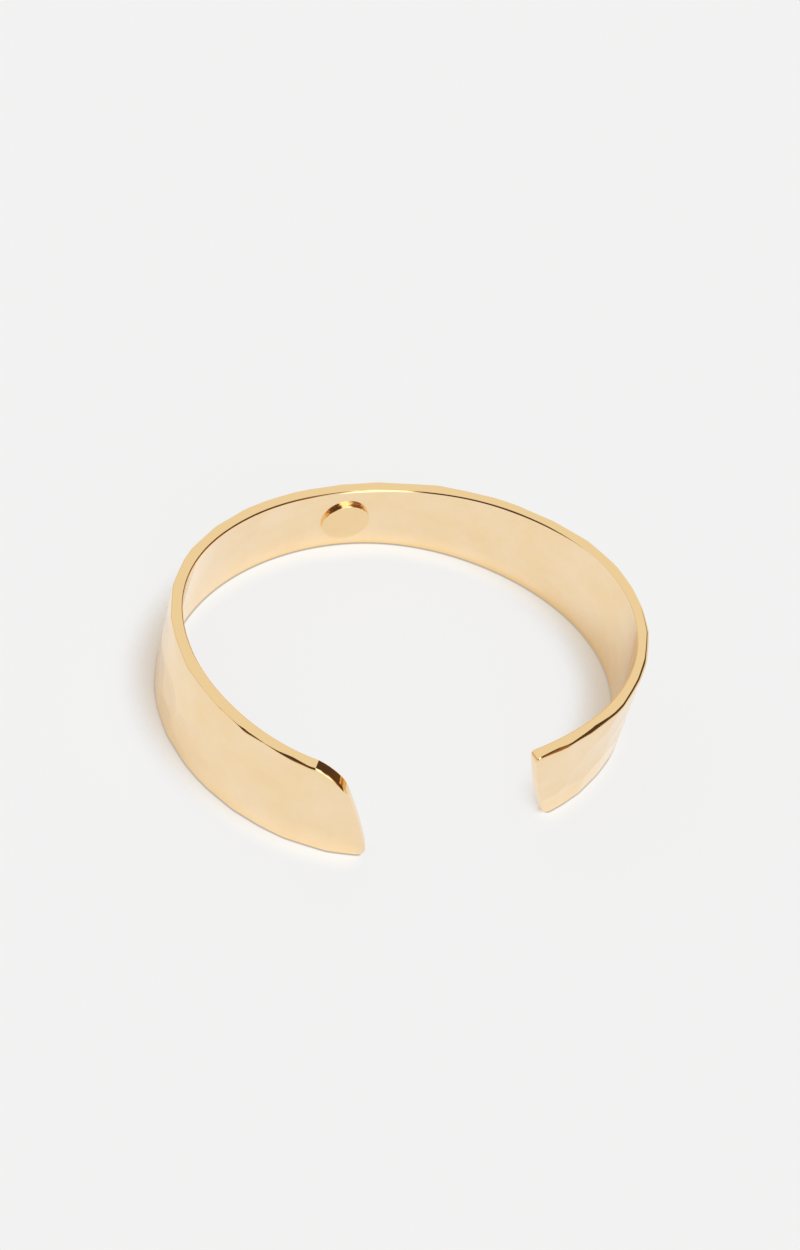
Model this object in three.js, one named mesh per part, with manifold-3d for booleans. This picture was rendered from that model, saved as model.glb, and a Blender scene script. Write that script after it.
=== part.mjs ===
// Open cuff bracelet: one strip of gold-coloured brass, bent to an oval that is open at the front,
// hammered on its outer face, with a small round disc soldered inside at the middle of its length.
// The cuff lies on its lower edge: +Z is up through the wrist hollow, +X runs along the oval and the
// opening faces -Y. The origin is under the middle of the whole thing. Units are millimetres.

import * as THREE from "three";
import { mergeVertices } from "three/addons/utils/BufferGeometryUtils.js";
import Module from "manifold-3d";

// The oval that the wrist goes into, and the way into it
const WRIST_LENGTH = 58.5; // hollow along X, between the inner faces
const WRIST_WIDTH = 48.5; // hollow along Y
const FRONT_OPENING = 24.9; // missing stretch of the oval between the two ends, along the wall's middle

// The strip
const BAND_WIDTH = 15.0; // at its widest, near the sides of the oval
const WALL = 1.65;
const EDGE_ROUND = 0.3; // the four long edges and the edges of the ends
const LEFT_SLANT = 5.7; // how far the left end runs askew from its lower to its upper corner
const RIGHT_SLANT = 4.4;
const LEFT_BOW = 0.6; // how far the left end swells out between its corners
const RIGHT_BOW = 0.35;
const LEFT_TOP_CORNER = 3.3;
const LEFT_LOW_CORNER = 1.5;
const RIGHT_TOP_CORNER = 0.8;
const RIGHT_LOW_CORNER = 1.2;

// The disc
const DISC_DIAMETER = 6.5;
const DISC_PROUD = 0.6; // above the inner face
const DISC_DROP = 0.2; // its centre below the middle of the band's width
const DISC_RIM_ROUND = 0.15;
const DISC_ROOT = WALL / 3; // sunk into the wall, so that the joint is solid

// The hammer marks
const MARK_SPACING = 4.2;
const MARK_DEPTH = 0.16;
const MARK_SCATTER = 0.45; // how far a mark strays from its even place, as a share of the spacing
const MARK_SEED = 7;

// The turn of the disc from +X, and how far the oval strays from an ellipse: waves round it, each
// as a share of half its length, along its cosine and its sine
const DISC_TURN = THREE.MathUtils.degToRad(93.9);
const OVAL_WAVES = [
  { lobes: 3, even: 0.0145, odd: -0.0062 },
  { lobes: 4, even: 0.0018, odd: -0.0078 },
];

// The strip along its length, from the left end at -1 to the right end at 1. Width and lean, which is
// how far the upper edge stands outside the lower one, are shares of BAND_WIDTH.
const SECTIONS = [
  { along: -1.0, width: 0.989, lean: -0.055 },
  { along: -0.75, width: 1.0, lean: -0.076 },
  { along: -0.5, width: 0.974, lean: -0.048 },
  { along: -0.25, width: 0.828, lean: -0.033 },
  { along: 0.0, width: 0.72, lean: 0.004 },
  { along: 0.25, width: 0.819, lean: 0.023 },
  { along: 0.5, width: 0.955, lean: 0.017 },
  { along: 0.75, width: 0.998, lean: 0.008 },
  { along: 1.0, width: 0.97, lean: -0.022 },
];

// How finely the faces are divided
const STATION_STEP = 2.0; // along the strip
const END_STATIONS = 4; // extra ones round each end's corners
const OUTER_ROWS = 9;
const INNER_ROWS = 3;
const EDGE_STEPS = 2; // in a quarter turn of a rounded edge
const DISC_SIDES = 32;

const edgeRound = Math.min(EDGE_ROUND, 0.45 * WALL);
const halfTurn = Math.PI;

// The middle of the wall as a closed curve, starting behind the disc and running towards +X
class Oval extends THREE.Curve {
  getPoint(t, target = new THREE.Vector3()) {
    const turn = DISC_TURN - 2 * halfTurn * t;
    const halfLength = (WRIST_LENGTH + WALL) / 2;
    const halfWidth = (WRIST_WIDTH + WALL) / 2;
    let reach = Math.hypot(halfLength * Math.cos(turn), halfWidth * Math.sin(turn));
    const slope = Math.atan2(halfWidth * Math.sin(turn), halfLength * Math.cos(turn));
    for (const wave of OVAL_WAVES) {
      reach += halfLength * wave.even * Math.cos(wave.lobes * slope);
      reach += halfLength * wave.odd * Math.sin(wave.lobes * slope);
    }
    return target.set(reach * Math.cos(slope), reach * Math.sin(slope), 0);
  }
}

const oval = new Oval();
oval.arcLengthDivisions = 720;
const halfStrip = (oval.getLength() - FRONT_OPENING) / 2;

// A point of the wall's middle at a distance along the strip from behind the disc, and the way out there
function wallAt(distance) {
  const share = (distance / oval.getLength() + 1) % 1;
  const point = oval.getPointAt(share);
  const tangent = oval.getTangentAt(share);
  return { point, outward: new THREE.Vector3(-tangent.y, tangent.x, 0) };
}

// A column of SECTIONS, read smoothly between its rows
function readSections(column, along) {
  const place = THREE.MathUtils.clamp((along + 1) / 2, 0, 1) * (SECTIONS.length - 1);
  const row = Math.min(Math.floor(place), SECTIONS.length - 2);
  const value = (index) => SECTIONS[THREE.MathUtils.clamp(index, 0, SECTIONS.length - 1)][column];
  const [before, low, high, after] = [row - 1, row, row + 1, row + 2].map(value);
  const share = place - row;
  const startSlope = (high - before) / 2;
  const endSlope = (after - low) / 2;
  const rise = high - low;
  return (
    low + startSlope * share + (3 * rise - 2 * startSlope - endSlope) * share ** 2 +
    (startSlope + endSlope - 2 * rise) * share ** 3
  );
}

// A steady number from -0.5 to 0.5 for each mark's column, row and use
function stray(column, row, use) {
  const wave = Math.sin(column * 12.9898 + row * 78.233 + use * 37.719 + MARK_SEED) * 43758.5453;
  return wave - Math.floor(wave) - 0.5;
}

// How deep the hammered face lies at a place on the strip: each mark is a shallow dish, and the dishes
// meet in low ridges
function markDepth(distance, height) {
  const row = Math.round(height / MARK_SPACING);
  const column = Math.round(distance / MARK_SPACING);
  let nearest = Infinity;
  for (let y = row - 2; y <= row + 2; y++) {
    for (let x = column - 2; x <= column + 2; x++) {
      const markX = (x + 0.5 * (Math.abs(y) % 2) + 2 * MARK_SCATTER * stray(x, y, 1)) * MARK_SPACING;
      const markY = (y + 2 * MARK_SCATTER * stray(x, y, 2)) * MARK_SPACING;
      nearest = Math.min(nearest, Math.hypot(distance - markX, height - markY));
    }
  }
  const dishRadius = 0.75 * MARK_SPACING;
  return MARK_DEPTH * (1 - Math.min(1, (nearest / dishRadius) ** 2));
}

// How far a round corner or edge of a radius draws back at a distance from its end
function drawBack(radius, fromEnd) {
  if (fromEnd >= radius) {
    return 0;
  }
  return radius - Math.sqrt(radius ** 2 - (radius - fromEnd) ** 2);
}

// The section of the strip at a station, as points of { out, height, hammered }, running up the outer
// face, over the upper edge, down the inner face and under the lower edge
function sectionAt(station) {
  const along = station / halfStrip;
  const fromEnd = halfStrip - Math.abs(station);
  const width = BAND_WIDTH * readSections("width", along);
  const corners = along < 0 ? [LEFT_LOW_CORNER, LEFT_TOP_CORNER] : [RIGHT_LOW_CORNER, RIGHT_TOP_CORNER];
  const fit = Math.min(1, (0.9 * width) / (corners[0] + corners[1]));
  const low = drawBack(corners[0] * fit, fromEnd);
  const high = width - drawBack(corners[1] * fit, fromEnd);
  const thinned = drawBack(edgeRound, fromEnd);
  const half = WALL / 2 - thinned;
  const round = Math.max(edgeRound - thinned, 0.02 * edgeRound);
  const points = [];
  const face = (out, from, to, rows, hammered) => {
    for (let i = 0; i <= rows; i++) {
      points.push({ out, height: from + ((to - from) * i) / rows, hammered });
    }
  };
  const edge = (out, height, start) => {
    for (let i = 1; i < EDGE_STEPS; i++) {
      const angle = start + (i / EDGE_STEPS) * (halfTurn / 2);
      const hammered = out > 0;
      points.push({ out: out + round * Math.cos(angle), height: height + round * Math.sin(angle), hammered });
    }
  };
  face(half, low + round, high - round, OUTER_ROWS, true);
  edge(half - round, high - round, 0);
  points.push({ out: half - round, height: high, hammered: true });
  points.push({ out: round - half, height: high, hammered: false });
  edge(round - half, high - round, halfTurn / 2);
  face(-half, high - round, low + round, INNER_ROWS, false);
  edge(round - half, low + round, halfTurn);
  points.push({ out: round - half, height: low, hammered: false });
  points.push({ out: half - round, height: low, hammered: true });
  edge(half - round, low + round, 1.5 * halfTurn);
  return { points, width, lean: BAND_WIDTH * readSections("lean", along) };
}

// Where the strip is cut into sections: even steps, closer together where the ends are rounded
function stations() {
  const cornerReach = Math.max(LEFT_TOP_CORNER, LEFT_LOW_CORNER, RIGHT_TOP_CORNER, RIGHT_LOW_CORNER);
  const nearEnd = [0, edgeRound / 3, edgeRound];
  for (let i = 1; i <= END_STATIONS; i++) {
    nearEnd.push(edgeRound + (cornerReach * i ** 1.5) / END_STATIONS ** 1.5);
  }
  const even = halfStrip - nearEnd[nearEnd.length - 1];
  const steps = Math.max(2, Math.round((2 * even) / STATION_STEP));
  const places = nearEnd.map((fromEnd) => fromEnd - halfStrip);
  for (let i = 1; i < steps; i++) {
    places.push(-even + (2 * even * i) / steps);
  }
  return places.concat(nearEnd.map((fromEnd) => halfStrip - fromEnd).reverse());
}

// The bent strip as one closed mesh
function bandGeometry() {
  const positions = [];
  const triangles = [];
  const places = stations();
  let count = 0;
  for (const station of places) {
    const { points, width, lean } = sectionAt(station);
    const slant = THREE.MathUtils.mapLinear(station, -halfStrip, halfStrip, LEFT_SLANT, RIGHT_SLANT);
    const bow = THREE.MathUtils.mapLinear(station, -halfStrip, halfStrip, -LEFT_BOW, RIGHT_BOW);
    count = points.length;
    for (const { out, height, hammered } of points) {
      const share = height / width;
      const distance = station + slant * (share - 0.5) + 4 * bow * share * (1 - share);
      const { point, outward } = wallAt(distance);
      const dent = hammered ? markDepth(distance, height) : 0;
      point.addScaledVector(outward, out + lean * share - dent);
      positions.push(point.x, point.y, height);
    }
  }
  for (let i = 0; i < places.length - 1; i++) {
    for (let j = 0; j < count; j++) {
      const next = (j + 1) % count;
      const [a, b] = [i * count + j, i * count + next];
      const [c, d] = [a + count, b + count];
      triangles.push(a, b, c, b, d, c);
    }
  }
  for (const [first, flip] of [[0, false], [(places.length - 1) * count, true]]) {
    const middle = new THREE.Vector3();
    for (let j = 0; j < count; j++) {
      middle.add(new THREE.Vector3().fromArray(positions, 3 * (first + j)));
    }
    middle.divideScalar(count);
    const centre = positions.length / 3;
    positions.push(middle.x, middle.y, middle.z);
    for (let j = 0; j < count; j++) {
      const [a, b] = [first + j, first + ((j + 1) % count)];
      triangles.push(centre, ...(flip ? [a, b] : [b, a]));
    }
  }
  const geometry = new THREE.BufferGeometry();
  geometry.setAttribute("position", new THREE.Float32BufferAttribute(positions, 3));
  geometry.setIndex(triangles);
  return geometry;
}

// The disc, standing on the inner face behind it with its axis along the wall's normal
function discGeometry() {
  const radius = DISC_DIAMETER / 2;
  const round = Math.min(DISC_RIM_ROUND, 0.9 * DISC_PROUD, 0.9 * radius);
  const profile = [new THREE.Vector2(0, -DISC_ROOT), new THREE.Vector2(radius, -DISC_ROOT)];
  for (let i = 0; i <= EDGE_STEPS + 1; i++) {
    const angle = ((i / (EDGE_STEPS + 1)) * halfTurn) / 2;
    const reach = radius - round + round * Math.cos(angle);
    profile.push(new THREE.Vector2(reach, DISC_PROUD - round + round * Math.sin(angle)));
  }
  profile.push(new THREE.Vector2(0, DISC_PROUD));
  const geometry = new THREE.LatheGeometry(profile, DISC_SIDES);
  const { point, outward } = wallAt(0);
  const inward = outward.clone().negate();
  const height = (BAND_WIDTH * readSections("width", 0)) / 2 - DISC_DROP;
  const lean = (BAND_WIDTH * readSections("lean", 0)) / 2;
  point.addScaledVector(inward, WALL / 2 - lean).setZ(height);
  const turn = new THREE.Quaternion().setFromUnitVectors(new THREE.Vector3(0, 1, 0), inward);
  return geometry.applyQuaternion(turn).translate(point.x, point.y, point.z);
}

// A closed three.js mesh as a solid for a join
const wasm = await Module();
wasm.setup();

function solidFrom(geometry) {
  const bare = geometry.clone();
  bare.deleteAttribute("normal");
  bare.deleteAttribute("uv");
  const merged = mergeVertices(bare);
  return new wasm.Manifold(new wasm.Mesh({
    numProp: 3,
    vertProperties: new Float32Array(merged.attributes.position.array),
    triVerts: new Uint32Array(merged.index.array),
  }));
}

function geometryFrom(solid) {
  const mesh = solid.getMesh();
  const geometry = new THREE.BufferGeometry();
  geometry.setAttribute("position", new THREE.BufferAttribute(mesh.vertProperties, 3));
  geometry.setIndex(new THREE.BufferAttribute(mesh.triVerts, 1));
  geometry.computeVertexNormals();
  return geometry;
}

const gold = new THREE.MeshStandardMaterial({ color: 0xe8c27a, roughness: 0.22, metalness: 1.0 });
const cuff = new THREE.Mesh(geometryFrom(solidFrom(bandGeometry()).add(solidFrom(discGeometry()))), gold);
cuff.name = "cuff";

// The middle of the whole thing goes over the origin, and its lower edge onto Z = 0
cuff.geometry.computeBoundingBox();
const middle = cuff.geometry.boundingBox.getCenter(new THREE.Vector3());
cuff.position.set(-middle.x, -middle.y, -cuff.geometry.boundingBox.min.z);

const bracelet = new THREE.Group();
bracelet.add(cuff);

export default bracelet;
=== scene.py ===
# An open cuff bracelet: one strip of gold-coloured brass, cut out flat, hammered on its outer face, bent
# to an oval, with a small round disc soldered inside. It lies on its lower edge on a pale studio floor.

import math

import bpy
import numpy as np
from mathutils import Matrix, Vector


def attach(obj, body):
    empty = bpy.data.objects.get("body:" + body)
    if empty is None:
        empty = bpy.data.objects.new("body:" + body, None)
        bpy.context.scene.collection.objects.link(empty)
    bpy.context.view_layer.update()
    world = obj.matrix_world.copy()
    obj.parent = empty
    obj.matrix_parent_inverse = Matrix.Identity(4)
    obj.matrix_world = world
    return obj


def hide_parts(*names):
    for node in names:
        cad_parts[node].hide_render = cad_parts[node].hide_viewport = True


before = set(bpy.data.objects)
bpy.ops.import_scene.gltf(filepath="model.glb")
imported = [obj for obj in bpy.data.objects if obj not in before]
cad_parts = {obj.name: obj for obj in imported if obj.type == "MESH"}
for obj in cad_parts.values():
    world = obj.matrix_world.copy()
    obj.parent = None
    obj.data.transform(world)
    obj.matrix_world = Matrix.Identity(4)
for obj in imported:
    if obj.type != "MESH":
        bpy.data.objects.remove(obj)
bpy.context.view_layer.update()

# The camera stands where the photograph was taken from: in front and to the left, well above the floor,
# and rolled a little to its left. The middle of the oval lies a little below the middle of the picture.
MM = 0.001
OVAL_MIDDLE = Vector((-0.563, -0.421, 0.0)) * MM
CAMERA_AZIMUTH = math.radians(-22.4)
CAMERA_ELEVATION = math.radians(52.0)
CAMERA_ROLL = math.radians(14.4)
CAMERA_DISTANCE = 350 * MM
PICTURE_WIDTH, PICTURE_HEIGHT = 800, 1250
OVAL_MIDDLE_PIXEL = (387.8, 688.5)
FOCAL_PIXELS = 2689
SENSOR_MM = 36

camera_back = Vector((
    math.sin(CAMERA_AZIMUTH) * math.cos(CAMERA_ELEVATION),
    -math.cos(CAMERA_AZIMUTH) * math.cos(CAMERA_ELEVATION),
    math.sin(CAMERA_ELEVATION),
))
level_right = Vector((math.cos(CAMERA_AZIMUTH), math.sin(CAMERA_AZIMUTH), 0.0))
level_up = camera_back.cross(level_right)
camera_right = level_right * math.cos(CAMERA_ROLL) + level_up * math.sin(CAMERA_ROLL)
camera_up = level_up * math.cos(CAMERA_ROLL) - level_right * math.sin(CAMERA_ROLL)
aside = (PICTURE_WIDTH / 2 - OVAL_MIDDLE_PIXEL[0]) / FOCAL_PIXELS
above = (OVAL_MIDDLE_PIXEL[1] - PICTURE_HEIGHT / 2) / FOCAL_PIXELS
aim_back = (camera_back - camera_right * aside - camera_up * above).normalized()
aim_right = camera_up.cross(aim_back).normalized()
aim_up = aim_back.cross(aim_right)

camera = bpy.data.objects.new("camera", bpy.data.cameras.new("camera"))
camera.data.sensor_width = SENSOR_MM
camera.data.lens = FOCAL_PIXELS / PICTURE_HEIGHT * SENSOR_MM
camera.data.clip_start = 10 * MM
turned = Matrix((aim_right, aim_up, aim_back)).transposed().to_4x4()
camera.matrix_world = Matrix.Translation(OVAL_MIDDLE + camera_back * CAMERA_DISTANCE) @ turned
bpy.context.scene.collection.objects.link(camera)
bpy.context.scene.camera = camera


class Wire:
    """A socket that Python's operators add Math nodes to, in a material or in Geometry Nodes."""

    def __init__(self, socket):
        self.socket = socket
        self.tree = socket.id_data

    @staticmethod
    def find(sockets, key):
        if isinstance(key, int):
            return sockets[key]
        return next(s for s in sockets if key in (s.identifier, s.name))

    @classmethod
    def add(cls, tree, kind, settings=None, inputs=None, output=0):
        """A new node of a kind, with its settings made before its inputs, as a Wire of one output."""
        node = tree.nodes.new(kind)
        for name, value in (settings or {}).items():
            setattr(node, name, value)
        for key, value in (inputs or {}).items():
            socket = cls.find(node.inputs, key)
            if isinstance(value, Wire):
                tree.links.new(value.socket, socket)
            else:
                socket.default_value = value
        return cls(cls.find(node.outputs, output)) if node.outputs else node

    def other(self, output):
        return Wire(self.find(self.socket.node.outputs, output))

    def maths(self, operation, *values):
        inputs = dict(enumerate(values))
        return self.add(self.tree, "ShaderNodeMath", {"operation": operation}, inputs)

    def __add__(self, value):
        return self.maths("ADD", self, value)

    def __radd__(self, value):
        return self.maths("ADD", value, self)

    def __sub__(self, value):
        return self.maths("SUBTRACT", self, value)

    def __rsub__(self, value):
        return self.maths("SUBTRACT", value, self)

    def __mul__(self, value):
        return self.maths("MULTIPLY", self, value)

    def __rmul__(self, value):
        return self.maths("MULTIPLY", value, self)

    def __truediv__(self, value):
        return self.maths("DIVIDE", self, value)

    def __pow__(self, value):
        return self.maths("POWER", self, value)

    def at_most(self, value):
        return self.maths("MINIMUM", self, value)

    def eased(self, start, end):
        """From 0 to 1, softly, as this goes from a start to an end."""
        return self.add(
            self.tree, "ShaderNodeMapRange", {"interpolation_type": "SMOOTHSTEP"},
            {"Value": self, "From Min": start, "From Max": end}, "Result",
        )

    def between(self, one, other):
        """The colour that lies this share of the way from one colour to the other."""
        return self.add(
            self.tree, "ShaderNodeMix", {"data_type": "RGBA"},
            {"Factor_Float": self, "A_Color": one, "B_Color": other}, "Result_Color",
        )


# The metal is brass with a pale warm gold plate, polished bright on the edges and a little softer on the
# faces, where the buffing wheel has left cloudy patches and faint upright streaks.
PALE_GOLD = (0.99, 0.785, 0.53, 1.0)
WARM_GOLD = (0.965, 0.722, 0.42, 1.0)
EDGE_GOLD = (0.94, 0.685, 0.35, 1.0)
FACE_ROUGHNESS = 0.12
EDGE_ROUGHNESS = 0.04
CLOUD_SIZE = 6 * MM
CLOUD_RANGE = (0.15, 0.85)
CLOUD_ROUGHNESS = 0.12
STREAK_WIDTH = 0.5 * MM
STREAK_LENGTH = 9 * MM
STREAK_DEPTH = 0.02 * MM
STREAK_STRENGTH = 0.1
STREAK_ROUGHNESS = 0.08


def gold_plate():
    material = bpy.data.materials.new("gold_plate")
    material.use_nodes = True
    tree = material.node_tree
    surface = tree.nodes["Principled BSDF"]
    surface.inputs["Metallic"].default_value = 1.0
    place = Wire.add(tree, "ShaderNodeTexCoord", output="Object")
    polished = Wire.add(tree, "ShaderNodeAttribute", {"attribute_name": "polished"}, output="Fac")
    clouds = Wire.add(
        tree, "ShaderNodeTexNoise", {},
        {"Vector": place, "Scale": 1 / CLOUD_SIZE, "Detail": 3.0, "Roughness": 0.6}, output="Fac",
    )
    drawn_out = Wire.add(
        tree, "ShaderNodeVectorMath", {"operation": "MULTIPLY"},
        {0: place, 1: (1 / STREAK_WIDTH, 1 / STREAK_WIDTH, 1 / STREAK_LENGTH)}, "Vector",
    )
    streaks = Wire.add(
        tree, "ShaderNodeTexNoise", {}, {"Vector": drawn_out, "Scale": 1.0, "Detail": 2.0}, output="Fac",
    )
    cloudy = clouds.eased(*CLOUD_RANGE)
    colour = polished.between(cloudy.between(PALE_GOLD, WARM_GOLD), EDGE_GOLD)
    uneven = (clouds - 0.5) * CLOUD_ROUGHNESS + (streaks - 0.5) * STREAK_ROUGHNESS
    face_roughness = FACE_ROUGHNESS + uneven
    roughness = face_roughness * (1 - polished) + EDGE_ROUGHNESS * polished
    bump = Wire.add(
        tree, "ShaderNodeBump", {},
        {"Strength": STREAK_STRENGTH, "Distance": STREAK_DEPTH, "Height": streaks * (1 - polished)},
        output="Normal",
    )
    tree.links.new(colour.socket, surface.inputs["Base Color"])
    tree.links.new(roughness.socket, surface.inputs["Roughness"])
    tree.links.new(bump.socket, surface.inputs["Normal"])
    return material


gold = gold_plate()


# The band is one strip of brass sheet, 1.65 mm thick and widest near its ends, with both ends cut on a
# slant. It is made here as a maker does it: sawn out flat, hammered on one face, then bent round an oval.
WALL = 1.65 * MM
EDGE_ROUND = 0.3 * MM
TOP_INNER_WEAR = [
    {"at": -76, "wear": 0.3}, {"at": -50, "wear": 0.5}, {"at": -30, "wear": 0.42},
    {"at": -14, "wear": 0.4}, {"at": -7, "wear": 0.36}, {"at": 0, "wear": 0.5},
    {"at": 7, "wear": 0.36}, {"at": 16, "wear": 0.36}, {"at": 22, "wear": 0.42},
    {"at": 26, "wear": 0.5}, {"at": 30, "wear": 0.35}, {"at": 45, "wear": 0.35},
    {"at": 60, "wear": 0.5}, {"at": 70, "wear": 0.4}, {"at": 76, "wear": 0.3},
]
TOP_OUTER_WEAR = [
    {"at": -76, "wear": 0.9}, {"at": -72.8, "wear": 0.8}, {"at": -72.4, "wear": 0.45},
    {"at": -70.5, "wear": 0.43}, {"at": -69.5, "wear": 0.57}, {"at": -68.5, "wear": 0.72},
    {"at": -67.5, "wear": 0.55}, {"at": -66.5, "wear": 0.28}, {"at": -65.5, "wear": 0.14},
    {"at": -64.5, "wear": 0.06}, {"at": -63.5, "wear": 0.25}, {"at": -62.5, "wear": 0.35},
    {"at": -61.5, "wear": 0.52}, {"at": -60.5, "wear": 0.16}, {"at": -59.5, "wear": 0.08},
    {"at": -58.5, "wear": 0.08}, {"at": -56, "wear": 0.22}, {"at": -50, "wear": 0.34},
    {"at": -40, "wear": 0.26}, {"at": -30, "wear": 0.36}, {"at": -18, "wear": 0.4},
    {"at": -6, "wear": 0.38}, {"at": 8, "wear": 0.42}, {"at": 22, "wear": 0.7},
    {"at": 36, "wear": 0.65}, {"at": 44, "wear": 0.75}, {"at": 48, "wear": 1.0},
    {"at": 50.7, "wear": 1.05}, {"at": 53, "wear": 1.0}, {"at": 57, "wear": 0.8},
    {"at": 60, "wear": 0.7}, {"at": 62.6, "wear": 0.72}, {"at": 65, "wear": 1.15},
    {"at": 67, "wear": 0.72}, {"at": 69, "wear": 0.48}, {"at": 71, "wear": 0.75},
    {"at": 73.6, "wear": 0.42}, {"at": 76, "wear": 0.3},
]
WEAR_FROM = math.radians(28)
WEAR_TO = math.radians(62)
WRIST_LENGTH = 58.5 * MM
WRIST_WIDTH = 48.5 * MM
FRONT_OPENING = 24.9 * MM
BAND_WIDTH = 15.0 * MM
END_SLANTS = {"left": 5.7 * MM, "right": 4.4 * MM}
END_BOWS = {"left": -0.6 * MM, "right": 0.35 * MM}
LOW_CORNERS = {"left": 1.5 * MM, "right": 1.2 * MM}
TOP_CORNERS = {"left": 3.45 * MM, "right": 0.8 * MM}
TOP_CREASES = {"left": math.radians(10), "right": 0.0}
DISC_TURN = math.radians(93.9)
OVAL_WAVES = [
    {"lobes": 3, "even": 0.0145, "odd": -0.0062},
    {"lobes": 4, "even": 0.0018, "odd": -0.0078},
]
SECTIONS = [
    {"along": -1.0, "width": 0.989, "lean": -0.055},
    {"along": -0.75, "width": 1.0, "lean": -0.076},
    {"along": -0.5, "width": 0.974, "lean": -0.048},
    {"along": -0.25, "width": 0.828, "lean": -0.033},
    {"along": 0.0, "width": 0.72, "lean": 0.004},
    {"along": 0.25, "width": 0.819, "lean": 0.023},
    {"along": 0.5, "width": 0.955, "lean": 0.017},
    {"along": 0.75, "width": 0.998, "lean": 0.008},
    {"along": 1.0, "width": 0.97, "lean": -0.022},
]
STATION_STEP = 0.4 * MM
END_STATIONS = 6
END_CROWDING = 1.5
CORNER_FROM = EDGE_ROUND + 0.15 * MM
CORNER_STEP = 0.2 * MM
CREASE_HALF_WIDTH = 0.01 * MM
LEAST_EDGE = 0.02
OUTER_ROWS = 40
INNER_ROWS = 16
EDGE_STEPS = 5
TOP_STEPS = 3
OVAL_POINTS = 1440


def oval_points():
    """The middle of the wall, from the front round past the left side to the front again."""
    half_length = (WRIST_LENGTH + WALL) / 2
    half_width = (WRIST_WIDTH + WALL) / 2
    turn = DISC_TURN + math.pi - 2 * math.pi * np.arange(OVAL_POINTS + 1) / OVAL_POINTS
    x, y = half_length * np.cos(turn), half_width * np.sin(turn)
    reach, slope = np.hypot(x, y), np.arctan2(y, x)
    for wave in OVAL_WAVES:
        reach = reach + half_length * wave["even"] * np.cos(wave["lobes"] * slope)
        reach = reach + half_length * wave["odd"] * np.sin(wave["lobes"] * slope)
    return np.column_stack([reach * np.cos(slope), reach * np.sin(slope)])


def read_sections(column, along):
    """A column of SECTIONS, read smoothly between its rows."""
    values = [row[column] for row in SECTIONS]
    values = [values[0], *values, values[-1]]
    place = min(max((along + 1) / 2, 0.0), 1.0) * (len(SECTIONS) - 1)
    row = min(int(place), len(SECTIONS) - 2)
    before, low, high, after = values[row:row + 4]
    share, rise = place - row, high - low
    start, end = (high - before) / 2, (after - low) / 2
    return (
        low + start * share + (3 * rise - 2 * start - end) * share ** 2
        + (start + end - 2 * rise) * share ** 3
    )


def read_wear(rows, station):
    """How far an upper edge is worn at a station, read straight between its table's rows, in mm."""
    places = [row["at"] for row in rows]
    wears = [row["wear"] for row in rows]
    return float(np.interp(station / MM, places, wears)) * MM


def draw_back(radius, from_end, crease=0.0):
    """How far a rounded corner, which may begin with a crease, draws back at a distance from its end."""
    if from_end >= radius * (1 - math.sin(crease)):
        return 0.0
    return radius * math.cos(crease) - math.sqrt(radius ** 2 - (radius - from_end) ** 2)


oval = oval_points()
oval_steps = np.linalg.norm(np.diff(oval, axis=0), axis=1)
oval_length = oval_steps.sum()
half_strip = (oval_length - FRONT_OPENING) / 2


def section_points(station):
    """A section of the flat strip as rows of out, height, how hammered, how polished and creased."""
    along = station / half_strip
    side = "left" if along < 0 else "right"
    from_end = half_strip - abs(station)
    width = BAND_WIDTH * read_sections("width", along)
    low = draw_back(LOW_CORNERS[side], from_end)
    high = width - draw_back(TOP_CORNERS[side], from_end, TOP_CREASES[side])
    thinned = draw_back(EDGE_ROUND, from_end)
    half = WALL / 2 - thinned
    edge = max(EDGE_ROUND - thinned, LEAST_EDGE * EDGE_ROUND)
    outer_wear = read_wear(TOP_OUTER_WEAR, station) * edge / EDGE_ROUND
    inner_wear = read_wear(TOP_INNER_WEAR, station) * edge / EDGE_ROUND
    fall = math.sin(WEAR_TO) - math.sin(WEAR_FROM)
    points = []

    def line(start, end, steps, hammered, polished, creased=False):
        for i in range(steps):
            share = i / steps
            out, height = (a + (b - a) * share for a, b in zip(start, end))
            marked = hammered[0] + (hammered[1] - hammered[0]) * share
            points.append((out, height, marked, polished, creased and i == 0))

    def corner(out, height, start, hammered):
        for i in range(EDGE_STEPS):
            angle = start + i / EDGE_STEPS * math.pi / 2
            reach, rise = edge * math.cos(angle), edge * math.sin(angle)
            points.append((out + reach, height + rise, hammered, 1.0, False))

    def worn_edge(side, wear):
        """The worn upper edge of a face, from the face up to the crease where the flat top begins."""
        centre = half - wear * math.cos(WEAR_FROM), high - wear * math.sin(WEAR_TO)
        arc = []
        for i in range(EDGE_STEPS + 1):
            angle = WEAR_FROM + (WEAR_TO - WEAR_FROM) * i / EDGE_STEPS
            out, height = centre[0] + wear * math.cos(angle), centre[1] + wear * math.sin(angle)
            arc.append((side * out, height, 1.0 if side > 0 else 0.0, 1.0, i == 0))
        return arc

    outer = worn_edge(1, outer_wear)
    inner = worn_edge(-1, inner_wear)[::-1]
    line((half, low + edge), (half, high - outer_wear * fall), OUTER_ROWS, (1, 1), 0.0)
    points.extend(outer[:-1])
    line(outer[-1][:2], inner[0][:2], TOP_STEPS, (1, 0), 1.0, True)
    points.append((*inner[0][:4], True))
    points.extend(inner[1:-1])
    line((-half, high - inner_wear * fall), (-half, low + edge), INNER_ROWS, (0, 0), 0.0, True)
    corner(edge - half, low + edge, math.pi, 0)
    line((edge - half, low), (half - edge, low), TOP_STEPS, (0, 1), 1.0)
    corner(half - edge, low + edge, 1.5 * math.pi, 1)
    return points, width


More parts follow.
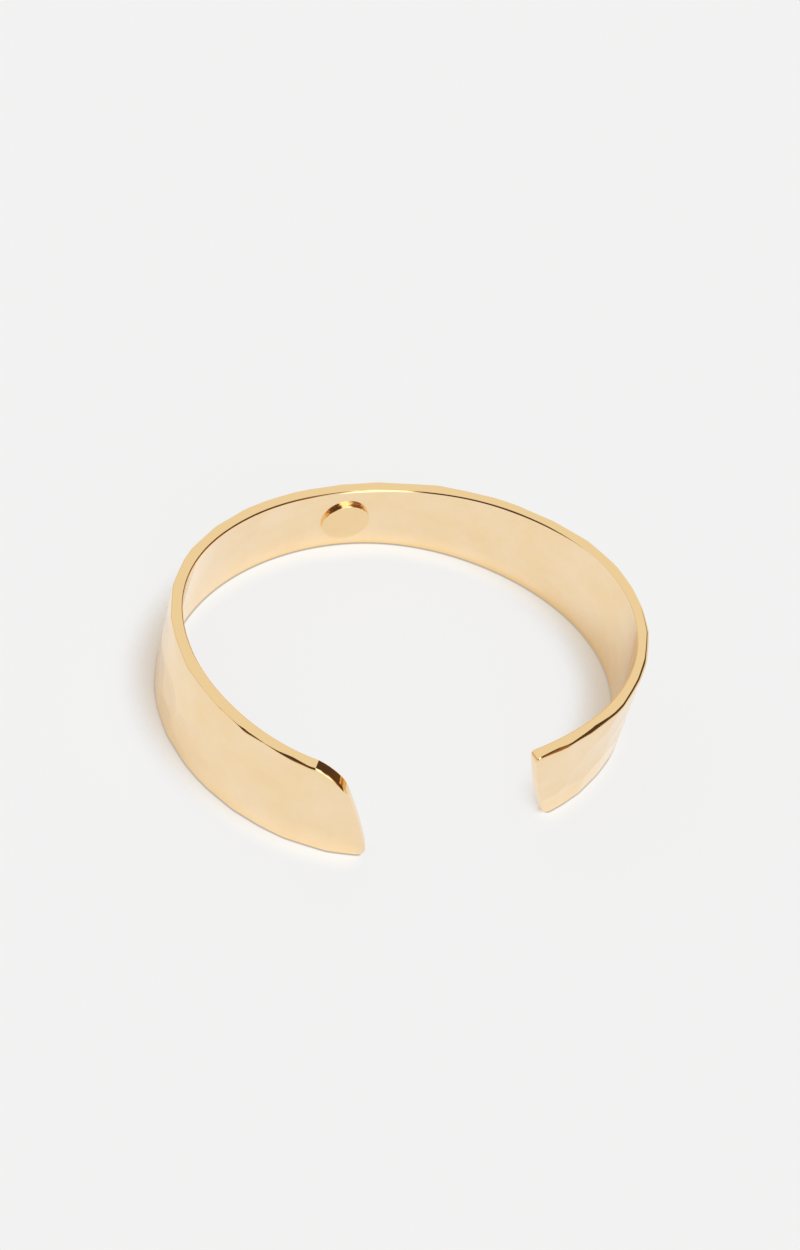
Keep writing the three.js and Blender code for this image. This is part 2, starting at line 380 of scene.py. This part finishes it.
def end_face(heights):
    """The rows of an end in threes, joined from side to side so that the face keeps to its bow."""
    outer, inner = 0, len(heights) - 1
    threes = []
    while inner - outer > 1:
        if heights[outer + 1] <= heights[inner - 1]:
            threes.append((outer, outer + 1, inner))
            outer += 1
        else:
            threes.append((outer, inner - 1, inner))
            inner -= 1
    return threes


def flat_strip():
    """The strip before it is hammered and bent: X is the distance along it, Y out, Z its height."""
    near_end = list(np.linspace(0, 1, END_STATIONS) ** END_CROWDING * EDGE_ROUND)
    near_end += list(np.arange(CORNER_FROM, max(TOP_CORNERS.values()), CORNER_STEP))
    crease = TOP_CORNERS["left"] * (1 - math.sin(TOP_CREASES["left"]))
    near_end = sorted([*near_end, crease - CREASE_HALF_WIDTH, crease + CREASE_HALF_WIDTH])
    even = half_strip - near_end[-1]
    steps = round(2 * even / STATION_STEP)
    stations = [d - half_strip for d in near_end]
    stations += [-even + 2 * even * i / steps for i in range(1, steps)]
    stations += [half_strip - d for d in reversed(near_end)]
    places, hammered, polished, leans, creases = [], [], [], [], set()
    for station in stations:
        points, width = section_points(station)
        share_along = (station + half_strip) / (2 * half_strip)
        slant = END_SLANTS["left"] * (1 - share_along) + END_SLANTS["right"] * share_along
        bow = END_BOWS["left"] * (1 - share_along) + END_BOWS["right"] * share_along
        lean = BAND_WIDTH * read_sections("lean", station / half_strip)
        for row, (out, height, marked, shine, creased) in enumerate(points):
            share = height / width
            swell = 4 * bow * share * (1 - share)
            places.append((station + slant * (share - 0.5) + swell, out, height))
            if creased:
                creases.add(row)
            hammered.append(marked)
            polished.append(shine)
            leans.append(lean * share)
    count = len(points)
    faces = []
    for i in range(len(stations) - 1):
        for j in range(count):
            a, b = i * count + j, i * count + (j + 1) % count
            faces.append((a, b, b + count, a + count))
    last = len(places) - count
    for three in end_face([height for _, _, height in places[:count]]):
        faces.append(three[::-1])
    for three in end_face([height for _, _, height in places[last:]]):
        faces.append(tuple(last + row for row in three))
    mesh = bpy.data.meshes.new("band")
    mesh.from_pydata(places, [], faces)
    for name, values in {"hammered": hammered, "polished": polished, "lean": leans}.items():
        mesh.attributes.new(name, "FLOAT", "POINT").data.foreach_set("value", values)
    mesh.shade_smooth()
    creased = [a % count == b % count and a % count in creases for a, b in mesh.edge_keys]
    mesh.attributes.new("sharp_edge", "BOOLEAN", "EDGE").data.foreach_set("value", creased)
    return mesh


band = bpy.data.objects.new("band", flat_strip())
bpy.context.scene.collection.objects.link(band)

# The bending form is the oval that the strip is wrapped round. It is a tool of the making alone, and is
# put away once the band has its shape.
form_curve = bpy.data.curves.new("bending_form", "CURVE")
form_curve.dimensions = "3D"
spline = form_curve.splines.new("POLY")
spline.points.add(len(oval) - 1)
for point, (x, y) in zip(spline.points, oval):
    point.co = (x, y, 0.0, 1.0)
bending_form = bpy.data.objects.new("bending_form", form_curve)
bpy.context.scene.collection.objects.link(bending_form)


# The hammer leaves shallow dishes on the outer face, side by side, that meet in soft ridges. The same
# tree then wraps the strip round the bending form, with its upper edge leaning in or out.
def hammer_and_bend():
    tree = bpy.data.node_groups.new("hammer_and_bend", "GeometryNodeTree")
    sockets = {
        "Geometry": "NodeSocketGeometry", "Form": "NodeSocketObject", "Metal": "NodeSocketMaterial",
        "Form Length": "NodeSocketFloat", "Mark Spacing": "NodeSocketFloat",
        "Mark Depth": "NodeSocketFloat", "Mark Scatter": "NodeSocketFloat",
        "Mark Seed": "NodeSocketFloat", "Ridge Softness": "NodeSocketFloat",
        "Ripple Size": "NodeSocketFloat", "Ripple Depth": "NodeSocketFloat",
    }
    for name, kind in sockets.items():
        tree.interface.new_socket(name, in_out="INPUT", socket_type=kind)
    tree.interface.new_socket("Geometry", in_out="OUTPUT", socket_type="NodeSocketGeometry")
    given = Wire.add(tree, "NodeGroupInput")

    def attribute(name):
        return Wire.add(
            tree, "GeometryNodeInputNamedAttribute", {"data_type": "FLOAT"}, {"Name": name}, "Attribute"
        )

    flat = Wire.add(tree, "GeometryNodeInputPosition")
    distance = Wire.add(tree, "ShaderNodeSeparateXYZ", {}, {0: flat}, "X")
    out, height = distance.other("Y"), distance.other("Z")
    on_sheet = Wire.add(
        tree, "ShaderNodeCombineXYZ", {},
        {"X": distance / given.other("Mark Spacing") + given.other("Mark Seed"),
         "Y": height / given.other("Mark Spacing")},
    )
    from_mark = Wire.add(
        tree, "ShaderNodeTexVoronoi", {"voronoi_dimensions": "2D", "feature": "SMOOTH_F1"},
        {"Vector": on_sheet, "Scale": 1.0, "Smoothness": given.other("Ridge Softness"),
         "Randomness": given.other("Mark Scatter")},
        "Distance",
    )
    ripple_place = Wire.add(
        tree, "ShaderNodeCombineXYZ", {},
        {"X": distance / given.other("Ripple Size"), "Y": height / given.other("Ripple Size")},
    )
    ripple = Wire.add(
        tree, "ShaderNodeTexNoise", {"noise_dimensions": "2D"},
        {"Vector": ripple_place, "Scale": 1.0, "Detail": 1.0}, "Fac",
    )
    dish = given.other("Mark Depth") * (1 - ((from_mark / MARK_REACH) ** 2).at_most(1.0))
    hammered = attribute("hammered")
    worked_out = out - hammered * (dish + ripple * given.other("Ripple Depth"))
    form = Wire.add(
        tree, "GeometryNodeObjectInfo", {"transform_space": "ORIGINAL"}, {"Object": given.other("Form")},
        "Geometry",
    )
    on_form = Wire.add(
        tree, "GeometryNodeSampleCurve", {"mode": "LENGTH", "use_all_curves": True},
        {"Curves": form, "Length": distance + given.other("Form Length") / 2}, "Position",
    )
    outward = Wire.add(
        tree, "ShaderNodeVectorMath", {"operation": "CROSS_PRODUCT"},
        {0: (0.0, 0.0, 1.0), 1: on_form.other("Tangent")}, "Vector",
    )
    pushed = Wire.add(
        tree, "ShaderNodeVectorMath", {"operation": "SCALE"},
        {0: outward, "Scale": worked_out + attribute("lean")}, "Vector",
    )
    raised = Wire.add(tree, "ShaderNodeCombineXYZ", {}, {"Z": height})
    on_wall = Wire.add(tree, "ShaderNodeVectorMath", {"operation": "ADD"}, {0: on_form, 1: pushed}, "Vector")
    place = Wire.add(tree, "ShaderNodeVectorMath", {"operation": "ADD"}, {0: on_wall, 1: raised}, "Vector")
    bent = Wire.add(tree, "GeometryNodeSetPosition", {}, {"Geometry": given, "Position": place})
    whole = Wire.add(tree, "GeometryNodeRealizeInstances", {}, {"Geometry": bent})
    finished = Wire.add(
        tree, "GeometryNodeSetMaterial", {}, {"Geometry": whole, "Material": given.other("Metal")}
    )
    Wire.add(tree, "NodeGroupOutput", {}, {"Geometry": finished})
    return tree


MARK_REACH = 0.75
MARKS = {
    "Form": bending_form, "Metal": gold, "Form Length": float(oval_length),
    "Mark Spacing": 4.2 * MM, "Mark Depth": 0.16 * MM, "Mark Scatter": 0.9, "Mark Seed": 7.0,
    "Ridge Softness": 0.12, "Ripple Size": 1.6 * MM, "Ripple Depth": 0.02 * MM,
}
making = band.modifiers.new("hammer_and_bend", "NODES")
making.node_group = hammer_and_bend()
for socket in making.node_group.interface.items_tree:
    if socket.in_out == "INPUT" and socket.name in MARKS:
        making[socket.identifier] = MARKS[socket.name]
wrapped = band.evaluated_get(bpy.context.evaluated_depsgraph_get())
shaped = bpy.data.meshes.new_from_object(wrapped)
band.modifiers.clear()
shaped.transform(Matrix.Translation(OVAL_MIDDLE))
shaped.name = "band"
band.data = shaped
bpy.data.objects.remove(bending_form)
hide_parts("cuff")
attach(band, "root")


# The disc is a small round plaque of the same metal, soldered to the inner face at the middle of the
# strip. Its rim is rounded and its face is flat, and a thin fillet of solder runs round its foot.
DISC_DIAMETER = 6.5 * MM
DISC_PROUD = 0.6 * MM
DISC_DROP = 0.2 * MM
DISC_RIM_ROUND = 0.12 * MM
DISC_FOOT = 0.06 * MM
DISC_FOOT_LIFT = 0.02 * MM
DISC_ROOT = 0.4 * MM
DISC_ROOT_SHARE = 0.9
DISC_FACE_SHARES = (0.8, 0.5, 0.2)
DISC_SHINE = 0.6
DISC_SIDES = 96
RIM_STEPS = 6


def disc_mesh():
    radius = DISC_DIAMETER / 2
    rim = DISC_PROUD - DISC_RIM_ROUND
    quarter = [i / RIM_STEPS * math.pi / 2 for i in range(RIM_STEPS + 1)]
    profile = [(0.0, -DISC_ROOT), (radius * DISC_ROOT_SHARE, -DISC_ROOT)]
    for a in quarter:
        foot = DISC_FOOT * (1 - math.cos(a)) + DISC_FOOT_LIFT
        profile.append((radius + DISC_FOOT * (1 - math.sin(a)), foot))
    for a in quarter:
        profile.append((radius - DISC_RIM_ROUND * (1 - math.cos(a)), rim + DISC_RIM_ROUND * math.sin(a)))
    profile += [(radius * share, DISC_PROUD) for share in DISC_FACE_SHARES]
    back = oval[len(oval) // 2]
    tangent = oval[len(oval) // 2 + 1] - oval[len(oval) // 2 - 1]
    tangent = Vector((*tangent, 0.0)).normalized()
    inward = tangent.cross(Vector((0.0, 0.0, 1.0)))
    height = BAND_WIDTH * read_sections("width", 0) / 2 - DISC_DROP
    lean = BAND_WIDTH * read_sections("lean", 0) / 2
    seat = Vector((*back, height)) + inward * (WALL / 2 - lean)
    places, faces = [seat - inward * DISC_ROOT], []
    for reach, rise in profile[1:]:
        for i in range(DISC_SIDES):
            angle = 2 * math.pi * i / DISC_SIDES
            side = tangent * math.cos(angle) + Vector((0.0, 0.0, 1.0)) * math.sin(angle)
            places.append(seat + side * reach + inward * rise)
    places.append(seat + inward * DISC_PROUD)
    rings = len(profile) - 1
    for i in range(DISC_SIDES):
        after = (i + 1) % DISC_SIDES
        faces.append((0, 1 + after, 1 + i))
        for ring in range(rings - 1):
            low, high = 1 + ring * DISC_SIDES, 1 + (ring + 1) * DISC_SIDES
            faces.append((low + i, low + after, high + after, high + i))
        top = 1 + (rings - 1) * DISC_SIDES
        faces.append((top + i, top + after, len(places) - 1))
    mesh = bpy.data.meshes.new("disc")
    mesh.from_pydata(places, [], faces)
    polished = [DISC_SHINE] * len(places)
    mesh.attributes.new("polished", "FLOAT", "POINT").data.foreach_set("value", polished)
    mesh.shade_smooth()
    mesh.materials.append(gold)
    mesh.transform(Matrix.Translation(OVAL_MIDDLE))
    return mesh


disc = bpy.data.objects.new("disc", disc_mesh())
bpy.context.scene.collection.objects.link(disc)
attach(disc, "root")


# The floor is a wide sheet of white acrylic that glows evenly of itself and takes a little light from above.
# How open each spot is towards the lamp, the window and its own surroundings is painted into that glow:
# a painted faint brown shadow, a painted pale glow where the band would throw light back down, and a
# painted fine dark contact line where the band stands.
FLOOR_SIDE = 4.0
FLOOR_COLOUR = (0.12, 0.12, 0.12, 1.0)
FLOOR_LIGHT = (0.80, 0.80, 0.80, 1.0)
# Painted shadow: the brown that is mixed into the floor's glow where the band stands between it and the
# lamp.
PAINTED_SHADOW = (0.53, 0.43, 0.32, 1.0)
# Painted glow: the pale light that is mixed into the floor where the band would throw light back down.
PAINTED_GLOW = (0.93, 0.90, 0.84, 1.0)
# Painted contact shadow: the dark grey that is mixed into the floor's glow right where the band stands.
PAINTED_CONTACT_SHADOW = (0.42, 0.38, 0.34, 1.0)
PAINTED_SHADOW_REACH = 8.5 * MM
PAINTED_SHADOW_RANGE = (0.68, 0.22)
PAINTED_GLOW_REACH = 4 * MM
PAINTED_GLOW_RANGE = (0.8, 0.3)
PAINTED_CONTACT_REACH = 0.35 * MM
PAINTED_CONTACT_RANGE = (0.85, 0.4)
LAMP_AZIMUTH = math.radians(90)
PAINTED_GLOW_AZIMUTH = math.radians(178)
LEAN_OF_VIEW = math.radians(50)
OPEN_SAMPLES = 16

floor_mesh = bpy.data.meshes.new("floor")
half = FLOOR_SIDE / 2
corners = [(-half, -half, 0), (half, -half, 0), (half, half, 0), (-half, half, 0)]
floor_mesh.from_pydata(corners, [], [(0, 1, 2, 3)])
floor = bpy.data.objects.new("floor", floor_mesh)
acrylic = bpy.data.materials.new("white_floor_painted_shade")
acrylic.use_nodes = True
sheet = acrylic.node_tree
sheet.nodes.clear()
level_back = Vector((camera_back.x, camera_back.y, 0.0)).normalized()


def open_towards(azimuth, reach, lean=LEAN_OF_VIEW):
    """How open the floor is towards one side of the room, where azimuth 0 is the side at the front."""
    level = level_back * math.cos(azimuth) + level_right * math.sin(azimuth)
    towards = level * math.sin(lean) + Vector((0.0, 0.0, 1.0)) * math.cos(lean)
    facing = Wire.add(sheet, "ShaderNodeCombineXYZ", {}, {"X": towards.x, "Y": towards.y, "Z": towards.z})
    return Wire.add(
        sheet, "ShaderNodeAmbientOcclusion", {"samples": OPEN_SAMPLES},
        {"Distance": reach, "Normal": facing}, "AO",
    )


# Painted shadow mask: the floor is painted brown where the band closes it off towards the lamp.
painted_shadow_mask = open_towards(LAMP_AZIMUTH, PAINTED_SHADOW_REACH).eased(*PAINTED_SHADOW_RANGE)
# Painted glow mask: the floor is painted paler where the band closes it off towards the back of the room.
painted_glow_mask = open_towards(PAINTED_GLOW_AZIMUTH, PAINTED_GLOW_REACH).eased(*PAINTED_GLOW_RANGE)
# Painted contact shadow mask: a fine dark line on the floor where the band stands on it.
painted_contact_mask = open_towards(0.0, PAINTED_CONTACT_REACH, 0.0).eased(*PAINTED_CONTACT_RANGE)
# The floor's even glow with the painted shadow, painted glow and painted contact line mixed in.
glow_with_painted_shade = painted_contact_mask.between(painted_shadow_mask.between(painted_glow_mask.between(FLOOR_LIGHT, PAINTED_GLOW), PAINTED_SHADOW), PAINTED_CONTACT_SHADOW)
matt = Wire.add(sheet, "ShaderNodeBsdfDiffuse", {}, {"Color": FLOOR_COLOUR})
lit = Wire.add(sheet, "ShaderNodeEmission", {}, {"Color": glow_with_painted_shade})
both = Wire.add(sheet, "ShaderNodeAddShader", {}, {0: matt, 1: lit})
Wire.add(sheet, "ShaderNodeOutputMaterial", {}, {"Surface": both})
floor_mesh.materials.append(acrylic)
bpy.context.scene.collection.objects.link(floor)


# The studio is a pale room with a lamp high on its right and a dark brown side with one bright window, which
# draw the lines on the metal's edges. A panel has the angles over which it fades in and out, round the room
# and above the horizon, and its colours near the floor and high up.
ROOM_FOOT = (0.72, 0.66, 0.60, 1.0)
ROOM_HEAD = (0.90, 0.90, 0.90, 1.0)
BACKDROP = (0.896, 0.896, 0.896, 1.0)
LAMP = (2.4, 2.4, 2.4, 1.0)
WINDOW = (1.75, 1.75, 1.75, 1.0)
OAK = (0.30, 0.135, 0.055, 1.0)
PINE = (0.38, 0.17, 0.075, 1.0)
WALNUT = (0.13, 0.065, 0.025, 1.0)
UMBER = (0.085, 0.05, 0.034, 1.0)
GREY = (0.28, 0.27, 0.26, 1.0)
PANELS = [
    {
        "from": (56, 64), "to": (136, 144), "above": (52, 60),
        "below": (80, 88), "foot": LAMP, "head": LAMP,
    },
    {
        "from": (-66, -54), "to": (50, 54), "above": (-22, -18),
        "below": (66, 71), "foot": OAK, "head": UMBER,
    },
    {
        "from": (4, 16), "to": (50, 54), "above": (7, 10),
        "below": (64, 68), "foot": WINDOW, "head": WINDOW,
    },
    {
        "from": (60, 68), "to": (164, 170), "above": (-22, -18),
        "below": (55, 60), "foot": WALNUT, "head": UMBER,
    },
    {
        "from": (60, 68), "to": (74, 80), "above": (-22, -18),
        "below": (40, 55), "foot": PINE, "head": OAK,
    },
    {
        "from": (160, 168), "to": (190, 200), "above": (-22, -18),
        "below": (14, 24), "foot": GREY, "head": GREY,
    },
]
PANEL_FOOT, PANEL_HEAD = 0, 36
ROOM_FROM, ROOM_TO = 0, 30

world = bpy.data.worlds.new("studio")
world.use_nodes = True
room = world.node_tree
room.nodes.clear()
way = Wire.add(room, "ShaderNodeTexCoord", output="Generated")
rightward, forward = [
    Wire.add(room, "ShaderNodeVectorMath", {"operation": "DOT_PRODUCT"}, {0: way, 1: axis}, "Value")
    for axis in (level_right, level_back)
]
azimuth = rightward.maths("ARCTAN2", rightward, forward) * math.degrees(1)
rise = Wire.add(room, "ShaderNodeSeparateXYZ", {}, {0: way}, "Z")
elevation = rise.maths("ARCSINE", rise) * math.degrees(1)
room_light = elevation.eased(ROOM_FROM, ROOM_TO).between(ROOM_FOOT, ROOM_HEAD)
for panel in PANELS:
    across = azimuth.eased(*panel["from"]) * (1 - azimuth.eased(*panel["to"]))
    upward = elevation.eased(*panel["above"]) * (1 - elevation.eased(*panel["below"]))
    colour = elevation.eased(PANEL_FOOT, PANEL_HEAD).between(panel["foot"], panel["head"])
    room_light = (across * upward).between(room_light, colour)
seen = Wire.add(room, "ShaderNodeLightPath", output="Is Camera Ray")
sky = Wire.add(room, "ShaderNodeBackground", {}, {"Color": seen.between(room_light, BACKDROP)})
Wire.add(room, "ShaderNodeOutputWorld", {}, {"Surface": sky})
bpy.context.scene.world = world
bpy.context.scene.view_settings.view_transform = "Standard"
